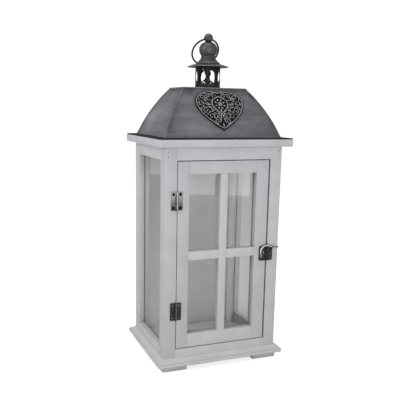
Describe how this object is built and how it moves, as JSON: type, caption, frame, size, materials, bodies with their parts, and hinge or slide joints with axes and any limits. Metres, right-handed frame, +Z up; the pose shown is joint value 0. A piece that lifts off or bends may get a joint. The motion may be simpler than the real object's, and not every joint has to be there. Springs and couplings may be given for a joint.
{
  "type": "candle lantern",
  "caption": "Glazed wooden candle lantern with a hinged muntined door, a latch, a bowed metal roof with a pierced gallery, an onion finial and a carrying ring.",
  "frame": {"origin": "on the ground, under the centre of the lantern", "axes": "+Z up, the door faces -Y, +X is to the right of somebody facing the door"},
  "size_m": [0.235, 0.193, 0.5612],
  "materials": {
    "white_paint": "brushed satin white paint on softwood",
    "clear_glass": "clear float glass, slightly green",
    "zinc_sheet": "antiqued zinc sheet with brushed streaks",
    "dark_sheet": "near-black painted sheet",
    "dark_casting": "dark grey casting, lightly rubbed",
    "aged_steel": "aged bright steel, satin"
  },
  "bodies": {
    "case": {"back_panel": "white_paint", "base_board": "white_paint", "base_cove_back": "white_paint", "base_cove_front": "white_paint", "base_cove_left": "white_paint", "base_cove_right": "white_paint", "cupola_brim": "dark_casting", "cupola_gallery": "dark_casting", "door_stop": "white_paint", "finial": "dark_casting", "foot_back_left": "white_paint", "foot_back_right": "white_paint", "foot_front_left": "white_paint", "foot_front_right": "white_paint", "front_bottom_rail": "white_paint", "front_top_rail": "white_paint", "heart_ornament": "dark_casting", "latch_keeper": "aged_steel", "left_bottom_rail": "white_paint", "left_top_rail": "white_paint", "lower_hinge_frame_leaf": "aged_steel", "lower_hinge_pin": "aged_steel", "post_back_left": "white_paint", "post_back_right": "white_paint", "post_front_left": "white_paint", "post_front_right": "white_paint", "right_bottom_rail": "white_paint", "right_top_rail": "white_paint", "roof_cap": "zinc_sheet", "roof_flange": "dark_sheet", "roof_panel_back": "zinc_sheet", "roof_panel_front": "zinc_sheet", "roof_panel_left": "zinc_sheet", "roof_panel_right": "zinc_sheet", "side_glass_left": "clear_glass", "side_glass_right": "clear_glass", "top_board": "white_paint", "upper_hinge_frame_leaf": "aged_steel", "upper_hinge_pin": "aged_steel"},
    "door": {"door_bead_bottom": "white_paint", "door_bead_left": "white_paint", "door_bead_right": "white_paint", "door_bead_top": "white_paint", "door_bottom_rail": "white_paint", "door_glass": "clear_glass", "door_hinge_stile": "white_paint", "door_latch_stile": "white_paint", "door_muntin_left": "white_paint", "door_muntin_right": "white_paint", "door_muntin_upright": "white_paint", "door_top_rail": "white_paint", "latch_door_plate": "aged_steel", "latch_rivet": "aged_steel", "lower_hinge_door_leaf": "aged_steel", "upper_hinge_door_leaf": "aged_steel"},
    "latch": {"latch_arm": "aged_steel"},
    "ring": {"ring_handle": "dark_casting"}
  },
  "joints": [
    {"name": "door_hinge", "type": "hinge", "parent": "case", "child": "door", "pos_m": [-0.0839, -0.0853, 0.193], "axis": [0, 0, -1], "range_deg": [0, 170]},
    {"name": "latch_lift", "type": "hinge", "parent": "door", "child": "latch", "pos_m": [0.0708, -0.0855, 0.1876], "axis": [0, -1, 0], "range_deg": [0, 110]},
    {"name": "ring_swing", "type": "hinge", "parent": "case", "child": "ring", "pos_m": [0, 0, 0.5521], "axis": [1, 0, 0], "range_deg": [0, 294]}
  ]
}
